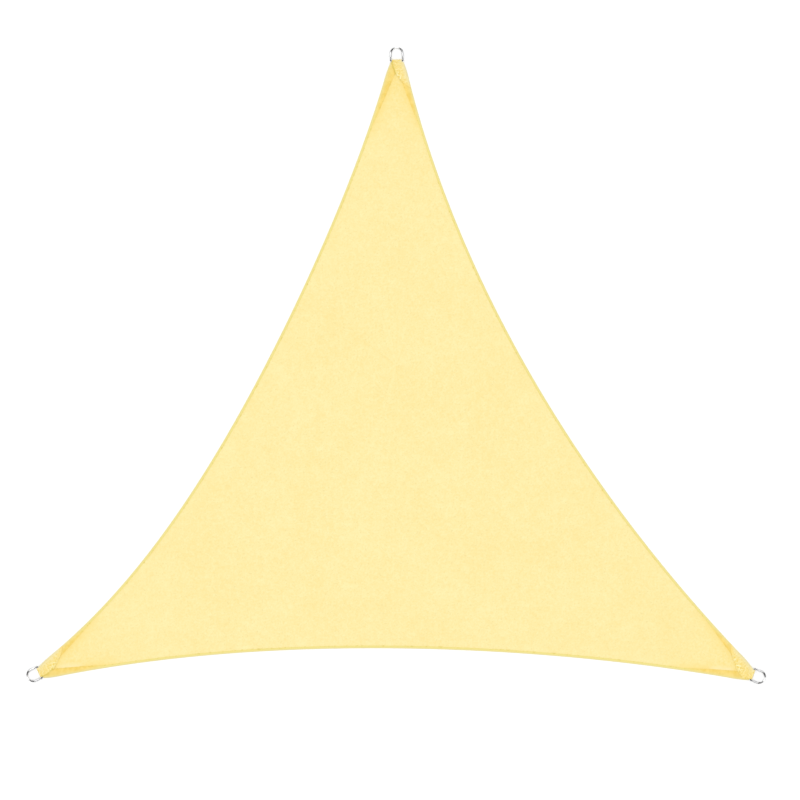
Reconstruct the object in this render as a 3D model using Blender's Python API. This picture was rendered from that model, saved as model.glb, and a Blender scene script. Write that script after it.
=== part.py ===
"""A triangular shade sail, spread flat and face up, with a D-ring at each tip.

Metres, +Z up. The origin is on the ground, under the middle of the whole sail with its rings.
The cloth lies on z = 0, except at the tips, where it rises onto the lower tail of a corner tab.
"""

from collections import namedtuple
import math

import bmesh
import bpy
from mathutils import Vector
from mathutils.geometry import delaunay_2d_cdt, intersect_line_line_2d

MM = 0.001

# Cloth. The hem is the same cloth turned over on itself, so it stands twice as thick.
CLOTH_THICK = 1.5 * MM
HEM_THICK = 2 * CLOTH_THICK
RIM_ROUND = 1.0 * MM
HEM_WIDTH_MIDDLE = 11 * MM
HEM_WIDTH_TIP = 38 * MM
HEM_TAPER_FROM = 30 * MM
HEM_TAPER_TO = 290 * MM
HEM_STEP = 1.2 * MM
SEWN_GAP = 0.3 * MM
TIP_SETBACK = 5 * MM
TIP_DRAWN_IN = 5 * MM
TIP_DRAW_REACH = 70 * MM

# D-ring, from round steel wire.
WIRE = 6 * MM
WIRE_SIDES = 12
RING_WIDTH = 51 * MM
RING_HEIGHT = 56 * MM
RING_BEND = 6 * MM
BEND_STEPS = 4
CROWN_STEPS = 17

# Corner tab, folded round the bar of the ring.
LOOP_HALF_WIDTH = 20.4 * MM
LOOP_CLEARANCE = 0.6 * MM
LOOP_STEPS = 10
LOOP_LETS_GO = math.radians(35)
LOOP_FOOT = 4 * MM
LOWER_TAIL = 40 * MM
TAB_COLUMNS = 6

# The tab's upper tail. Its rows start a little behind the cut tip and are as wide there as the loop and a
# flare, and the skews are how much further in a row lies at its covered end than at its slanted end.
UPPER_TAIL_GAP = 0.5 * MM
UPPER_TAIL_START = TIP_SETBACK + 1.5 * MM
UPPER_TAIL_FLARE = 3 * MM
UPPER_TAIL_INSET = 1.5 * MM
UPPER_ROW_SPACING = 11 * MM
MID_ROW_SKEW = 12 * MM
FAR_ROW_SKEW = 14 * MM

# The cloth is lifted clear of the lower tail as far as LIFT_FROM, and is down again at LIFT_TO.
LIFT = CLOTH_THICK + SEWN_GAP
LIFT_FROM = 55 * MM
LIFT_TO = 95 * MM
LIFT_ROWS = 6

BAR_HEIGHT = CLOTH_THICK + LOOP_CLEARANCE + WIRE / 2

# One row for each tip. x and y place the middle of the ring's bar, and heading, in degrees, is the way
# the ring points. covers is the side of the tip, 1 or -1 from the heading, where the tab reaches out over
# the hem. The tab's slanted inner edge runs through three points, given in millimetres as a distance in
# from the bar and a distance across towards the covered side.
Tip = namedtuple("Tip", "name x y heading covers near_in near_across mid_in mid_across far_in far_across")
TIPS = (
    Tip("top", 0.0026, 1.2833, 90.8, -1, 28, -17, 60, -6, 103, 35),
    Tip("left", -1.5023, -1.2942, 203.5, -1, 28, -22, 65, -9, 120, 40),
    Tip("right", 1.5016, -1.3032, -20.0, 1, 32, -33, 73, 0, 118, 56),
)

# One row for each side, anticlockwise round the sail. The sag is how far the side's middle is cut in from
# the straight line, skew moves the deepest place towards the side's end, and belly fills out the quarters.
Side = namedtuple("Side", "name start end start_half_width end_half_width sag skew belly")
SIDES = (
    Side("left", 0, 1, 31 * MM, 28.7 * MM, 194.4 * MM, 51.3 * MM, 47 * MM),
    Side("bottom", 1, 2, 34.2 * MM, 32.5 * MM, 134 * MM, -12.5 * MM, 11 * MM),
    Side("right", 2, 0, 29 * MM, 33.5 * MM, 196.3 * MM, 16.5 * MM, 7 * MM),
)

# Spacing of the points along a side: close at the tips, wider with the distance from them.
CLOSE_STEP = 12 * MM
WIDE_STEP = 110 * MM
STEP_GROWTH = 0.12

# Points closer together than this are one point. A search along a side halves its range this often.
TOUCHING = 0.001 * MM
HALVINGS = 24

CLOTH_YELLOW = (0.79, 0.64, 0.29, 1.0)
TAB_YELLOW = (0.77, 0.60, 0.25, 1.0)
STEEL_GREY = (0.62, 0.62, 0.63, 1.0)


def clear_scene():
    for obj in list(bpy.data.objects):
        bpy.data.objects.remove(obj, do_unlink=True)


def principled(name, colour, roughness, metallic):
    material = bpy.data.materials.new(name)
    material.use_nodes = True
    shader = material.node_tree.nodes["Principled BSDF"]
    shader.inputs["Base Color"].default_value = colour
    shader.inputs["Roughness"].default_value = roughness
    shader.inputs["Metallic"].default_value = metallic
    return material


def add_object(name, bm, material, smooth_angle):
    bmesh.ops.recalc_face_normals(bm, faces=bm.faces)
    mesh = bpy.data.meshes.new(name)
    bm.to_mesh(mesh)
    bm.free()
    mesh.shade_smooth()
    mesh.set_sharp_from_angle(angle=math.radians(smooth_angle))
    mesh.materials.append(material)
    obj = bpy.data.objects.new(name, mesh)
    bpy.context.scene.collection.objects.link(obj)
    return obj


def clamp(value, low=0.0, high=1.0):
    return max(low, min(high, value))


def smooth_step(value):
    value = clamp(value)
    return value * value * (3 - 2 * value)


# Plan of the sail


def tip_axes(tip):
    """The middle of the bar, the direction that the ring points in, and the direction to its left."""
    angle = math.radians(tip.heading)
    outward = Vector((math.cos(angle), math.sin(angle)))
    return Vector((tip.x, tip.y)), outward, Vector((-outward.y, outward.x))


def depth_in(point, tip):
    """How far a point lies in from the bar of a tip, along the ring's axis."""
    bar, outward, _ = tip_axes(tip)
    return (bar - point).dot(outward)


def side_ends(side):
    """The ends of a side, where the tips are cut off square behind the rings' bars."""
    bar, outward, left = tip_axes(TIPS[side.start])
    start = bar - outward * TIP_SETBACK + left * side.start_half_width
    bar, outward, left = tip_axes(TIPS[side.end])
    return start, bar - outward * TIP_SETBACK - left * side.end_half_width


def side_point(side, along):
    """A point of the cut edge, with along running from 0 to 1. The rings draw the tips in a little."""
    start, end = side_ends(side)
    chord = end - start
    inward = Vector((-chord.y, chord.x)).normalized()
    across = 2 * along - 1
    sag = side.sag + side.skew * across + side.belly * across**2
    from_end = min(along, 1 - along) * chord.length
    drawn_in = TIP_DRAWN_IN * clamp(1 - from_end / TIP_DRAW_REACH) ** 2
    return start + chord * along + inward * (4 * along * (1 - along) * sag + drawn_in)


def inward_of(side, along):
    nearby = 0.001
    tangent = side_point(side, along + nearby) - side_point(side, along - nearby)
    return Vector((-tangent.y, tangent.x)).normalized()


def side_stations(side):
    start, end = side_ends(side)
    half_length = (end - start).length / 2
    reached = [0.0]
    while reached[-1] < half_length:
        reached.append(reached[-1] + clamp(reached[-1] * STEP_GROWTH, CLOSE_STEP, WIDE_STEP))
    first_half = [0.5 * distance / reached[-1] for distance in reached]
    return first_half + [1 - along for along in reversed(first_half[:-1])]


def hem_width(point):
    from_tip = min((point - Vector((tip.x, tip.y))).length for tip in TIPS)
    taper = clamp((HEM_TAPER_TO - from_tip) / (HEM_TAPER_TO - HEM_TAPER_FROM))
    return HEM_WIDTH_MIDDLE + (HEM_WIDTH_TIP - HEM_WIDTH_MIDDLE) * taper


def edge_loop(inset):
    """The cut edge all round, moved inwards by inset. The square ends of the tips move in with it."""
    points = []
    for side in SIDES:
        stations = side_stations(side)
        for along in stations:
            point = side_point(side, along) + inward_of(side, along) * inset
            if along == stations[0]:
                point -= tip_axes(TIPS[side.start])[1] * inset
            if along == stations[-1]:
                point -= tip_axes(TIPS[side.end])[1] * inset
            points.append(point)
    return points


def first_crossing(leaving, arriving):
    """Where the end of one line meets the start of the next, with the indices of the points kept."""
    for i in range(len(leaving) - 1, 0, -1):
        for j in range(len(arriving) - 1):
            crossing = intersect_line_line_2d(leaving[i - 1], leaving[i], arriving[j], arriving[j + 1])
            if crossing:
                return i - 1, j + 1, crossing
    raise ValueError("two neighbouring hems never meet")


def hem_loop(extra):
    """The hem's inner edge all round, moved inwards by extra. The hems of two sides meet behind each tip."""
    lines = []
    for side in SIDES:
        line = []
        for along in side_stations(side):
            edge = side_point(side, along)
            line.append(edge + inward_of(side, along) * (hem_width(edge) + extra))
        lines.append(line)
    meets = [first_crossing(lines[i], lines[(i + 1) % len(lines)]) for i in range(len(lines))]
    points = []
    for i, line in enumerate(lines):
        first_kept = meets[i - 1][1]
        last_kept, _, crossing = meets[i]
        points += line[first_kept : last_kept + 1]
        points.append(crossing)
    return points


def lift_at(point):
    """How far the tip's lower tail holds the cloth off the ground at a point."""
    depth = min(depth_in(point, tip) for tip in TIPS)
    return LIFT * smooth_step((LIFT_TO - depth) / (LIFT_TO - LIFT_FROM))


# The sail


def loop_edges(first, count):
    return [(first + i, first + (i + 1) % count) for i in range(count)]


def sail_cloth(material):
    """One closed sheet: a plan triangulated between the rim and the hem's step, as a top and an underside."""
    rim = edge_loop(RIM_ROUND)
    hem_top = hem_loop(0.0)
    hem_foot = hem_loop(HEM_STEP)
    centre_lines = []
    for tip in TIPS:
        bar, outward, _ = tip_axes(tip)
        for row in range(LIFT_ROWS):
            depth = LIFT_FROM + (LIFT_TO - LIFT_FROM) * row / (LIFT_ROWS - 1)
            centre_lines.append(bar - outward * depth)
    plan = rim + hem_top + hem_foot + centre_lines
    thick_count = len(rim) + len(hem_top)
    edges = loop_edges(0, len(rim))
    edges += loop_edges(len(rim), len(hem_top))
    edges += loop_edges(thick_count, len(hem_foot))
    points, _, faces, sources, _, _ = delaunay_2d_cdt(plan, edges, [], 1, TOUCHING)

    bm = bmesh.new()
    under = []
    top = []
    for point, source in zip(points, sources):
        thick = HEM_THICK if source and source[0] < thick_count else CLOTH_THICK
        lift = lift_at(point)
        under.append(bm.verts.new((point.x, point.y, lift)))
        top.append(bm.verts.new((point.x, point.y, lift + thick)))
    for face in faces:
        bm.faces.new([top[i] for i in face])
        bm.faces.new([under[i] for i in reversed(face)])

    placed = {source[0]: i for i, source in enumerate(sources) if source}
    nose = []
    for point in edge_loop(0.0):
        nose.append(bm.verts.new((point.x, point.y, lift_at(point) + HEM_THICK / 2)))
    for i in range(len(rim)):
        j = (i + 1) % len(rim)
        low_i, low_j = under[placed[i]], under[placed[j]]
        high_i, high_j = top[placed[i]], top[placed[j]]
        bm.faces.new((low_i, low_j, nose[j], nose[i]))
        bm.faces.new((nose[i], nose[j], high_j, high_i))
    return add_object("sail_cloth", bm, material, smooth_angle=30)


# The corner tabs, each modelled with its ring along +X and the middle of the bar above its origin


def edge_across(tip, depth, towards):
    """How far the sail's edge is from a tip's axis, at a depth in from the bar and on one side of it."""
    index = TIPS.index(tip)
    if towards > 0:
        side = next(side for side in SIDES if side.start == index)
    else:
        side = next(side for side in SIDES if side.end == index)
    near, far = 0.0, 0.5
    for _ in range(HALVINGS):
        middle = (near + far) / 2
        edge = side_point(side, middle if towards > 0 else 1 - middle)
        if depth_in(edge, tip) < depth:
            near = middle
        else:
            far = middle
    bar, _, left = tip_axes(tip)
    return abs((edge - bar).dot(left))


def upper_tail_rows(tip):
    """Rows across the upper tail, from the bar inwards. Each is its slanted end and its covered end."""

    def row(depth, across, skew):
        edge = edge_across(tip, depth + skew, tip.covers)
        return (depth, across), (depth + skew, edge - UPPER_TAIL_INSET)

    return [
        row(UPPER_TAIL_START, -LOOP_HALF_WIDTH - UPPER_TAIL_FLARE, 0.0),
        row(tip.near_in * MM, tip.near_across * MM, 0.0),
        row(tip.mid_in * MM, tip.mid_across * MM, MID_ROW_SKEW),
        row(tip.far_in * MM, tip.far_across * MM, FAR_ROW_SKEW),
    ]


def fine_rows(rows, spacing):
    """The same rows with more between them, so that none is further than spacing from the next."""
    fine = [rows[0]]
    for before, after in zip(rows, rows[1:]):
        parts = max(1, math.ceil((after[0][0] - before[0][0]) / spacing))
        for k in range(1, parts + 1):
            share = k / parts
            ends = []
            for old, new in zip(before, after):
                ends.append(tuple(a + (b - a) * share for a, b in zip(old, new)))
            fine.append(tuple(ends))
    return fine


def tab_sections(tip):
    """Rows of (depth, across, height, slope) along the folded tab, from its lower tail over the bar."""
    middle = CLOTH_THICK / 2
    radius = WIRE / 2 + LOOP_CLEARANCE + middle

    def straight(depth, height, slope):
        rows = []
        for column in range(TAB_COLUMNS + 1):
            across = LOOP_HALF_WIDTH * (2 * column / TAB_COLUMNS - 1)
            rows.append((depth, across, height, slope))
        return rows

    under_side = math.pi
    sections = [straight(depth, middle, under_side) for depth in (LOWER_TAIL, LOWER_TAIL / 2, LOOP_FOOT)]
    for step in range(LOOP_STEPS + 1):
        turn = -math.pi + (math.pi + LOOP_LETS_GO) * step / LOOP_STEPS
        depth = radius * math.sin(turn)
        height = BAR_HEIGHT + radius * math.cos(turn)
        sections.append(straight(depth, height, -turn))

    bar, outward, left = tip_axes(tip)
    for slanted, covered in fine_rows(upper_tail_rows(tip), UPPER_ROW_SPACING):
        section = []
        for column in range(TAB_COLUMNS + 1):
            share = column / TAB_COLUMNS
            depth = slanted[0] + (covered[0] - slanted[0]) * share
            across = slanted[1] + (covered[1] - slanted[1]) * share
            point = bar - outward * depth + left * across * tip.covers
            height = lift_at(point) + HEM_THICK + UPPER_TAIL_GAP + middle
            section.append((depth, across, height, 0.0))
        sections.append(section)
    return sections


def corner_tab(tip, material):
    """A folded strip of cloth: an outer and an inner skin, half the cloth's thickness to each side."""
    bm = bmesh.new()
    skins = {1: [], -1: []}
    for section in tab_sections(tip):
        for direction in skins:
            row = []
            for depth, across, height, slope in section:
                reach = direction * CLOTH_THICK / 2
                x = -depth + reach * math.sin(slope)
                z = height + reach * math.cos(slope)
                row.append(bm.verts.new((x, across * tip.covers, z)))
            skins[direction].append(row)
    outer, inner = skins[1], skins[-1]
    for rows in (outer, inner):
        for before, after in zip(rows, rows[1:]):
            for c in range(TAB_COLUMNS):
                bm.faces.new((before[c], before[c + 1], after[c + 1], after[c]))
    for end in (0, -1):
        for c in range(TAB_COLUMNS):
            bm.faces.new((outer[end][c], outer[end][c + 1], inner[end][c + 1], inner[end][c]))
    for column in (0, -1):
        for r in range(len(outer) - 1):
            corners = (outer[r][column], outer[r + 1][column], inner[r + 1][column], inner[r][column])
            bm.faces.new(corners)
    return add_object("corner_tab_" + tip.name, bm, material, smooth_angle=40)


# The D-rings, each with its bar along Y through the origin and its crown along +X


def draw_wire(bm, section, move):
    """Draws the wire's section out along a straight run."""
    drawn = bmesh.ops.extrude_edge_only(bm, edges=section)["geom"]
    bmesh.ops.translate(bm, verts=[g for g in drawn if isinstance(g, bmesh.types.BMVert)], vec=move)
    return [g for g in drawn if isinstance(g, bmesh.types.BMEdge)][: len(section)]


def bend_wire(bm, section, centre, angle, steps):
    """Turns the wire's section about a vertical axis through centre."""
    bent = bmesh.ops.spin(bm, geom=section, cent=centre, axis=(0, 0, 1), angle=angle, steps=steps)
    return [g for g in bent["geom_last"] if isinstance(g, bmesh.types.BMEdge)]


def d_ring_mesh():
    bm = bmesh.new()
    half_bar = RING_WIDTH / 2 - RING_BEND
    crown = RING_WIDTH / 2
    leg = RING_HEIGHT - crown - RING_BEND
    half_side = math.pi / WIRE_SIDES
    section_points = []
    for i in range(WIRE_SIDES):
        angle = half_side * (2 * i + 1)
        place = (WIRE / 2 * math.cos(angle), -half_bar, WIRE / 2 * math.sin(angle))
        section_points.append(bm.verts.new(place))
    section = []
    for i in range(WIRE_SIDES):
        section.append(bm.edges.new((section_points[i], section_points[(i + 1) % WIRE_SIDES])))
    section = draw_wire(bm, section, (0, 2 * half_bar, 0))
    section = bend_wire(bm, section, (RING_BEND, half_bar, 0), -math.pi / 2, BEND_STEPS)
    section = draw_wire(bm, section, (leg, 0, 0))
    section = bend_wire(bm, section, (RING_BEND + leg, 0, 0), -math.pi, CROWN_STEPS)
    section = draw_wire(bm, section, (-leg, 0, 0))
    bend_wire(bm, section, (RING_BEND, -half_bar, 0), -math.pi / 2, BEND_STEPS)
    bmesh.ops.remove_doubles(bm, verts=bm.verts, dist=TOUCHING)
    return bm


def d_ring(tip, material):
    """The bar lies on the tab's lower tail and the crown on the ground, so the ring slopes a little."""
    ring = add_object("d_ring_" + tip.name, d_ring_mesh(), material, smooth_angle=50)
    ring.location.z = BAR_HEIGHT
    ring.rotation_euler.y = math.asin((BAR_HEIGHT - WIRE / 2) / RING_HEIGHT)
    return ring


def main():
    clear_scene()
    cloth = principled("knitted shade cloth", CLOTH_YELLOW, roughness=0.85, metallic=0.0)
    tab_cloth = principled("knitted shade cloth, sewn double", TAB_YELLOW, roughness=0.85, metallic=0.0)
    steel = principled("polished steel wire", STEEL_GREY, roughness=0.15, metallic=1.0)
    sail_cloth(cloth)
    for tip in TIPS:
        place = bpy.data.objects.new("tip_" + tip.name, None)
        place.location = (tip.x, tip.y, 0)
        place.rotation_euler.z = math.radians(tip.heading)
        bpy.context.scene.collection.objects.link(place)
        corner_tab(tip, tab_cloth).parent = place
        d_ring(tip, steel).parent = place


main()
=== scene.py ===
"""A shade sail as it looks, laid out flat on a pale floor and seen from above.

Metres, +Z up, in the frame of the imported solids. The sections follow the making of the sail: the hemmed
panel, the corner tabs, the D-rings, and the stitching of hems and tabs. The studio comes last.
"""

from collections import namedtuple
import math
import random

import bpy
from mathutils import Matrix, Vector, noise
from mathutils.geometry import delaunay_2d_cdt, intersect_line_line_2d


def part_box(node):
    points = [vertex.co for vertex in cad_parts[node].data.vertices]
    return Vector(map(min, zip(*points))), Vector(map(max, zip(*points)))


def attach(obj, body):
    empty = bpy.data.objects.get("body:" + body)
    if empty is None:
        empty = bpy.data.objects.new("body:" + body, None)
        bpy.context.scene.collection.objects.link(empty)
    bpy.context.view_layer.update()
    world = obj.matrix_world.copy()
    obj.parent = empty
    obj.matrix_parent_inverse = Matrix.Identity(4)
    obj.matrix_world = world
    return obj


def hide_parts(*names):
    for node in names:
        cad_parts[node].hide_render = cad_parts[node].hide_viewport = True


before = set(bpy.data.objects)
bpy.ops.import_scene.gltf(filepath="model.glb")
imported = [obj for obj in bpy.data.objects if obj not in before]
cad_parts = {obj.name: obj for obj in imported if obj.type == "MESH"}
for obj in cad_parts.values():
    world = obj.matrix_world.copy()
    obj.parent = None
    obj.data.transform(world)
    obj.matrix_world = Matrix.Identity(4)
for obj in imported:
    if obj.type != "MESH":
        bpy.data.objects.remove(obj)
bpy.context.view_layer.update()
bpy.ops.object.select_all(action="DESELECT")

MM = 0.001


# The sail. One panel of knitted polyethylene shade cloth, cut with three hollow sides. Its edge is turned
# over once on to the face and sewn down, narrow along the sides and wider towards the corners, where the
# tips are cut off square behind the bars of the rings.

CLOTH_THICK = 1.2 * MM
HEM_WIDTH_MIDDLE = 11 * MM
HEM_WIDTH_TIP = 38 * MM
HEM_TAPER_FROM = 30 * MM
HEM_TAPER_TO = 290 * MM
TIP_SETBACK = 5 * MM
TIP_DRAWN_IN = 5 * MM
TIP_DRAW_REACH = 70 * MM
STATION_STEP = 8 * MM
MEETS_WITHIN = 3 * HEM_WIDTH_TIP
FIELD_STEP = 13 * MM
FIELD_MARGIN = 16 * MM

# The lower tail of each corner tab lies under the tip and holds it off the floor.
TAB_THICK = 1.5 * MM
SEWN_GAP = 0.3 * MM
LIFT = TAB_THICK + SEWN_GAP
LIFT_FROM = 55 * MM
LIFT_TO = 95 * MM

# The corners: the middle of the ring's bar, the way that the ring points in degrees, the side of the tip
# that the tab reaches out over, three places on the tab's slanted inner edge, in millimetres in from the bar
# and across towards that side, and how sharply the tab is creased along that edge.
TIP_FIELDS = "name x y heading covers near_in near_across mid_in mid_across far_in far_across creased"
Tip = namedtuple("Tip", TIP_FIELDS)
TIPS = (
    Tip("top", 0.0026, 1.2833, 90.8, -1, 28, -17, 60, -6, 103, 35, 1.0),
    Tip("left", -1.5023, -1.2942, 203.5, -1, 28, -22, 65, -9, 120, 40, 0.9),
    Tip("right", 1.5016, -1.3032, -20.0, 1, 32, -33, 73, 0, 118, 56, 0.3),
)

# The sides, anticlockwise. The sag is how far a side is hollowed at its middle, skew moves the deepest place
# towards its end, and belly fills out the quarters.
Side = namedtuple("Side", "name start end start_half_width end_half_width sag skew belly")
SIDES = (
    Side("left", 0, 1, 31 * MM, 28.7 * MM, 194.4 * MM, 51.3 * MM, 47 * MM),
    Side("bottom", 1, 2, 34.2 * MM, 32.5 * MM, 134 * MM, -12.5 * MM, 11 * MM),
    Side("right", 2, 0, 29 * MM, 33.5 * MM, 196.3 * MM, 16.5 * MM, 7 * MM),
)


def clamp(value, low=0.0, high=1.0):
    return max(low, min(high, value))


def smooth_step(value):
    value = clamp(value)
    return value * value * (3 - 2 * value)


def tip_axes(tip):
    """The middle of the bar, the direction that the ring points in, and the direction to its left."""
    angle = math.radians(tip.heading)
    outward = Vector((math.cos(angle), math.sin(angle)))
    return Vector((tip.x, tip.y)), outward, Vector((-outward.y, outward.x))


AXES = {tip: tip_axes(tip) for tip in TIPS}


def depth_in(point, tip):
    """How far a point lies in from the bar of a tip, along the ring's axis."""
    bar, outward, _ = AXES[tip]
    return (bar - point).dot(outward)


def side_ends(side):
    """Where the folded edge of a side starts and ends, at the square-cut tips."""
    bar, outward, left = AXES[TIPS[side.start]]
    start = bar - outward * TIP_SETBACK + left * side.start_half_width
    bar, outward, left = AXES[TIPS[side.end]]
    return start, bar - outward * TIP_SETBACK - left * side.end_half_width


ENDS = {side: side_ends(side) for side in SIDES}


def side_point(side, along):
    """A point of the folded edge, with along running from 0 to 1."""
    start, end = ENDS[side]
    chord = end - start
    inward = Vector((-chord.y, chord.x)).normalized()
    across = 2 * along - 1
    sag = side.sag + side.skew * across + side.belly * across**2
    from_end = min(along, 1 - along) * chord.length
    drawn_in = TIP_DRAWN_IN * clamp(1 - from_end / TIP_DRAW_REACH) ** 2
    return start + chord * along + inward * (4 * along * (1 - along) * sag + drawn_in)


def inward_of(side, along):
    """The direction into the sail from a place on its edge."""
    nearby = 0.001
    tangent = side_point(side, along + nearby) - side_point(side, along - nearby)
    return Vector((-tangent.y, tangent.x)).normalized()


def nearest_on(side, point):
    """How far along a side the place nearest to a point is, and how far in from there the point lies."""
    start, end = ENDS[side]
    chord = end - start
    along = (point - start).dot(chord) / chord.length_squared
    for _ in range(2):
        inward = inward_of(side, along)
        ahead = Vector((inward.y, -inward.x))
        along += (point - side_point(side, along)).dot(ahead) / chord.length
    return along, (point - side_point(side, along)).dot(inward_of(side, along))


def from_nearest_tip(point):
    return min((point - Vector((tip.x, tip.y))).length for tip in TIPS)


def hem_width(point):
    taper = clamp((HEM_TAPER_TO - from_nearest_tip(point)) / (HEM_TAPER_TO - HEM_TAPER_FROM))
    return HEM_WIDTH_MIDDLE + (HEM_WIDTH_TIP - HEM_WIDTH_MIDDLE) * taper


def beyond_hems(point):
    """How far in a point lies from the inner edge of the nearest hem, and less than nothing on a hem."""
    room = []
    for side in SIDES:
        along, inset = nearest_on(side, point)
        room.append(inset - hem_width(side_point(side, along)))
    return min(room)


def lift_at(point):
    """How far the sail lies off the floor, over the lower tails."""
    depth = min(depth_in(point, tip) for tip in TIPS)
    return LIFT * smooth_step((LIFT_TO - depth) / (LIFT_TO - LIFT_FROM))


def side_stations(side):
    """Evenly spaced places along a side, from 0 to 1."""
    start, end = ENDS[side]
    count = round((end - start).length / STATION_STEP)
    return [i / count for i in range(count + 1)]


def first_crossing(leaving, arriving):
    """Where the end of one line meets the start of the next, with how much of each is kept."""
    near = round(MEETS_WITHIN / STATION_STEP)
    for i in range(len(leaving) - 1, len(leaving) - near, -1):
        for j in range(near):
            crossing = intersect_line_line_2d(leaving[i - 1], leaving[i], arriving[j], arriving[j + 1])
            if crossing:
                return i, j + 1, [crossing]
    return len(leaving), 0, []


def cut_square(line, tip, inset):
    """Ends a line where it comes to the square end of a tip, which moves in by inset as the sides do."""
    end_depth = TIP_SETBACK + inset
    while depth_in(line[1], tip) < end_depth:
        line.pop(0)
    first, second = depth_in(line[0], tip), depth_in(line[1], tip)
    line[0] = line[0].lerp(line[1], (end_depth - first) / (second - first))


def row_all_round(inset_at):
    """A closed line round the sail, in from the folded edge by inset_at of the place on the edge."""
    lines = []
    for side in SIDES:
        line = []
        for along in side_stations(side):
            edge = side_point(side, along)
            line.append(edge + inward_of(side, along) * inset_at(edge))
        cut_square(line, TIPS[side.start], inset_at(side_point(side, 0)))
        line.reverse()
        cut_square(line, TIPS[side.end], inset_at(side_point(side, 1)))
        line.reverse()
        lines.append(line)
    meets = [first_crossing(lines[i], lines[(i + 1) % len(lines)]) for i in range(len(lines))]
    points = []
    for i, line in enumerate(lines):
        points += line[meets[i - 1][1] : meets[i][0]] + meets[i][2]
    return points


# What the cloth does at each line: the heights of its face and its underside, and how far it is turned over
# (doubled), folded round the edge, drawn down by the seam, and puckered along it, each from 0 to 1. The
# folded and seam values only place painted shade: on the round fold, and in beads of painted shadow along the
# seam.
Cloth = namedtuple("Cloth", "face underside doubled folded seam pucker")
plan = []
plan_edges = []
cloth_at = []


def add_row(points, cloth):
    """Adds a closed line to the plan, with what the cloth does along it."""
    first = len(plan)
    for i in range(len(points)):
        plan_edges.append((first + i, first + (i + 1) % len(points)))
    plan.extend(points)
    cloth_at.extend([cloth] * len(points))


# The folded edge is round, two cloths high. Each of its lines is given by how far round the fold it lies, in
# degrees, and how much painted shade of the fold it gets. The outermost line, the nose, is left out of the
# plan.
ROUND_EDGE = ((35, 1.0), (65, 1.0), (90, 0.8))
edge_rows = []
for turn, folded in ROUND_EDGE:
    rise = CLOTH_THICK * math.sin(math.radians(turn))
    inset = CLOTH_THICK * (1 - math.cos(math.radians(turn)))
    edge_rows.append(row_all_round(lambda edge: inset))
    add_row(edge_rows[-1], Cloth(CLOTH_THICK + rise, CLOTH_THICK - rise, 1, folded, 0, 0))
rim_count = len(edge_rows[0])

# The fold's painted shade shows as a band along the edge. It narrows where the hem does, and ends before the
# seam begins.
FOLD_BAND = 4 * MM
FOLD_FADE = 7 * MM
FOLD_FADED = 0.35
SEAM_REACH = 4.8 * MM
HEM_FACE = 2.0 * CLOTH_THICK
add_row(row_all_round(lambda edge: FOLD_BAND), Cloth(HEM_FACE, 0.0, 1, 1.0, 0, 0))


def fold_fade(edge):
    """How far in the fold's band has faded out, at a place on the edge."""
    return min(FOLD_FADE, (FOLD_BAND + hem_width(edge) - SEAM_REACH) / 2)


add_row(row_all_round(fold_fade), Cloth(HEM_FACE, 0.0, 1, FOLD_FADED, 0, 0))

# The seam runs close to the cut edge of the turned part, which ends in a small step down to the field. The
# first value of each line is how far it lies beyond the cut edge.
SEAM_INSET = 2.5 * MM
SEAM_FACE = 1.6 * CLOTH_THICK
HemRow = namedtuple("HemRow", "beyond face doubled folded seam pucker")
HEM_ROWS = (
    HemRow(-SEAM_REACH, HEM_FACE, 1, 0.0, 0.1, 0.5),
    HemRow(-SEAM_INSET, SEAM_FACE, 1, 0.0, 1.0, 1.0),
    HemRow(-1.0 * MM, 1.9 * CLOTH_THICK, 1, 0.0, 0.6, 1.0),
    HemRow(0.0 * MM, 1.85 * CLOTH_THICK, 1, 0.0, 0.8, 1.0),
    HemRow(0.3 * MM, 1.0 * CLOTH_THICK, 0, 0.0, 1.0, 1.0),
    HemRow(2.5 * MM, 1.0 * CLOTH_THICK, 0, 0.0, 0.0, 1.0),
    HemRow(8.0 * MM, 1.0 * CLOTH_THICK, 0, 0.0, 0.0, 0.6),
)
for hem_row in HEM_ROWS:
    row = row_all_round(lambda edge: hem_width(edge) + hem_row.beyond)
    cloth = Cloth(hem_row.face, 0.0, hem_row.doubled, hem_row.folded, hem_row.seam, hem_row.pucker)
    add_row(row, cloth)

# The field between the hems is a plain net of points.
field = Cloth(CLOTH_THICK, 0.0, 0, 0.0, 0.0, 0.0)
low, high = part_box("sail_cloth")
for i in range(int((high[0] - low[0]) / FIELD_STEP)):
    for j in range(int((high[1] - low[1]) / FIELD_STEP)):
        stagger = FIELD_STEP / 2 * (j % 2)
        point = Vector((low[0] + FIELD_STEP * i + stagger, low[1] + FIELD_STEP * j))
        if beyond_hems(point) > FIELD_MARGIN and lift_at(point) < LIFT:
            plan.append(point)
            cloth_at.append(field)

# Small gathers, 20 to 50 mm apart, where the seam has drawn the knit up. None under the tabs.
PUCKER_HEIGHT = 0.5 * MM
PUCKERS_PER_METRE = 42
PUCKERS_FROM = 140 * MM
PUCKERS_RISE = 60 * MM


def pucker_at(point):
    short = noise.noise(Vector((point.x, point.y, 0)) * PUCKERS_PER_METRE)
    clear_of_tab = smooth_step((from_nearest_tip(point) - PUCKERS_FROM) / PUCKERS_RISE)
    return PUCKER_HEIGHT * clamp(0.5 + short) * clear_of_tab


# Broad soft waves in the field, and low creases that fan out from the corners. Both die away beside the edge.
WAVE_HEIGHT = 1.4 * MM
WAVES_PER_METRE = 3.5
CREASE_HEIGHT = 0.9 * MM
CREASE_FROM = 130 * MM
CREASE_RISE = 150 * MM
CREASE_TO = 1100 * MM
CREASE_FALL = 700 * MM
CREASES_PER_RADIAN = 9
CREASE_WANDER = 1.5
FLAT_EDGE = 30 * MM
FLAT_FADE = 120 * MM


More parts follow.
